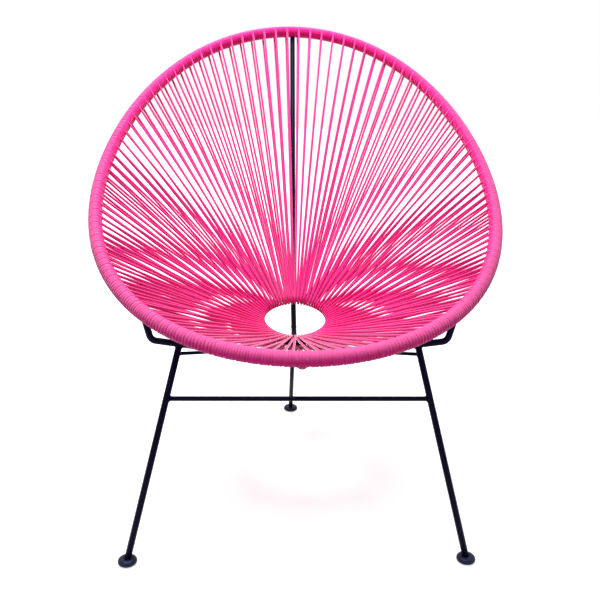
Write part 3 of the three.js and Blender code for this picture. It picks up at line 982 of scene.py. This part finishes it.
def makeGlide(name, node, top, foot, legRadius):
    height, sides = glide["height"], glide["sides"]
    lean = unit(top - foot) * vec(1, 1, 0) * glide["lean"]
    shares = zip(glide["radiusShares"], glide["heightShares"])
    rings = [(glide["rest"], 0.0, 0.0)]
    rings += [(glide["radius"] * r, height * h, 0.0) for r, h in shares]
    rings.append((legRadius + glide["collar"], height, 1.0))
    rings.append((legRadius * glide["innerRadius"], height - glide["innerDip"], glide["innerLean"]))
    vertices, faces = [vec(foot[0], foot[1], 0)], []
    for radius, z, leanShare in rings:
        middle = vec(foot[0], foot[1], z) + lean * leanShare
        for side in range(sides):
            angle = 2 * math.pi * side / sides
            vertices.append(middle + radius * vec(math.cos(angle), math.sin(angle), 0))
    vertices.append(vec(foot[0], foot[1], height - glide["middleDip"]))
    last = 1 + (len(rings) - 1) * sides
    for side in range(sides):
        following = (side + 1) % sides
        faces.append((0, 1 + following, 1 + side))
        for row in range(len(rings) - 1):
            a, b = 1 + row * sides + side, 1 + row * sides + following
            faces.append((a, b, b + sides, a + sides))
        faces.append((last + side, last + following, len(vertices) - 1))
    finishPiece(smoothPiece(name, vertices, faces, glideMaterial), "glide", node)


for word, top, foot, legRadius in (
    ("left", legTop(-1), frontFoot(-1), legs["frontRadius"]),
    ("right", legTop(1), frontFoot(1), legs["frontRadius"]),
    ("rear", rearLegTop, rearFoot, legs["rearRadius"]),
):
    makeGlide("glide_" + word, "foot_glide_" + word, top, foot, legRadius)

# these keep the CAD's own meshes, out of sight under the cord and in the glides
for name in ("hoop_tube", "hoop_spigot", "foot_plate_left", "foot_plate_right", "foot_plate_rear"):
    node = frame["nodes"][name]
    node.data.materials.clear()
    node.data.materials.append(frameMaterial)
print("glides made")


studio = {
    "floorSize": 14.0,
    "floorColour": (0.86, 0.86, 0.865, 1),
    "floorRoughness": 0.9,
    "floorShine": 0.1,
    "bounceColour": (0.30, 0.30, 0.31, 1),  # what the floor throws back on the chair
    "floorLift": (0.58, 1.0),  # its own light, near the chair and away from it
    "liftReach": (1.0, 2.4),
    "white": (1, 1, 1, 1),
    "worldLight": 0.38,
    "worldSeen": 1.0,
    "lampTarget": (0, 0, 0.4),
}
lamps = {
    "keyLamp": {"place": (-0.30, 0.25, 2.9), "size": 1.5, "power": 98.0},
    "fillLamp": {"place": (-1.6, -2.2, 1.9), "size": 2.0, "power": 5.0},
}


def cameraRayMix(tree, seen, other):  # seen is for the camera, glossy and transmission rays
    rays = addNode(tree, "ShaderNodeLightPath").outputs
    either = numberMath(tree, "MAXIMUM", rays["Is Camera Ray"], rays["Is Glossy Ray"])
    every = numberMath(tree, "MAXIMUM", either, rays["Is Transmission Ray"])
    return addNode(tree, "ShaderNodeMixShader", (every, other, seen)).outputs[0]


def makeWorld():
    world = bpy.data.worlds.new("studioWorld")
    bpy.context.scene.world = world
    world.use_nodes = True
    tree = world.node_tree
    tree.nodes.clear()
    sky = []
    for label in ("worldSeen", "worldLight"):
        light = {"Color": studio["white"], "Strength": studio[label]}
        sky.append(addNode(tree, "ShaderNodeBackground", light).outputs[0])
    addNode(tree, "ShaderNodeOutputWorld", {"Surface": cameraRayMix(tree, *sky)})


def makeFloor():
    half = studio["floorSize"] / 2
    corners = [(-half, -half, 0), (half, -half, 0), (half, half, 0), (-half, half, 0)]
    floor = meshObject("studioFloor", corners, [(0, 1, 2, 3)])
    material, tree, shader = newMaterial("paleFloor")
    shader.inputs["Base Color"].default_value = studio["floorColour"]
    shader.inputs["Roughness"].default_value = studio["floorRoughness"]
    shader.inputs["Specular IOR Level"].default_value = studio["floorShine"]
    bounce = addNode(tree, "ShaderNodeBsdfDiffuse", {"Color": studio["bounceColour"]}).outputs[0]
    distance = vectorMath(tree, "LENGTH", addNode(tree, "ShaderNodeTexCoord").outputs["Object"])
    lift = mapped(tree, distance, studio["floorLift"], studio["liftReach"])
    glow = addNode(tree, "ShaderNodeEmission", {"Strength": lift}).outputs[0]
    both = addNode(tree, "ShaderNodeAddShader", (shader.outputs[0], glow)).outputs[0]
    end = next(n for n in tree.nodes if n.type == "OUTPUT_MATERIAL")
    tree.links.new(cameraRayMix(tree, both, bounce), end.inputs["Surface"])
    floor.data.materials.append(material)


def addLamp(name, place, size, power):
    lamp = bpy.data.lights.new(name, "AREA")
    lamp.shape = "DISK"
    lamp.size = size
    lamp.energy = power
    holder = bpy.data.objects.new(name, lamp)
    bpy.context.scene.collection.objects.link(holder)
    holder.location = place
    aim = Vector(studio["lampTarget"]) - Vector(place)
    holder.rotation_euler = aim.to_track_quat("-Z", "Y").to_euler()


view = {
    "aside": -0.04595,
    "beforeFeet": 1.04381,
    "height": 0.80271,
    "yaw": 0.03972,  # to the right, then down, then the camera's own turn, in radians
    "pitch": 0.3197,
    "roll": -0.01795,
    "lens": 45.0,
    "sensor": 36.0,
    "clipStart": 0.01,
}


def makeCamera():
    yaw, pitch, roll = view["yaw"], view["pitch"], view["roll"]
    forward = vec(math.sin(yaw) * math.cos(pitch), math.cos(yaw) * math.cos(pitch), -math.sin(pitch))
    right = vec(math.cos(yaw), -math.sin(yaw), 0)
    down = np.cross(forward, right)
    turnedRight = math.cos(roll) * right + math.sin(roll) * down
    turnedDown = -math.sin(roll) * right + math.cos(roll) * down
    camera = bpy.data.cameras.new("photoCamera")
    camera.lens = view["lens"]
    camera.sensor_width = view["sensor"]
    camera.clip_start = view["clipStart"]
    holder = bpy.data.objects.new("photoCamera", camera)
    bpy.context.scene.collection.objects.link(holder)
    place = vec(view["aside"], frontFoot(1)[1] - view["beforeFeet"], view["height"])
    columns = np.stack([turnedRight, -turnedDown, -forward, place], axis=1)
    holder.matrix_world = Matrix([list(row) for row in columns] + [[0, 0, 0, 1]])
    bpy.context.scene.camera = holder


makeWorld()
makeFloor()
for name, lamp in lamps.items():
    addLamp(name, **lamp)
makeCamera()
bpy.context.scene.view_settings.view_transform = "Standard"
print("studio made")

bpy.context.view_layer.update()
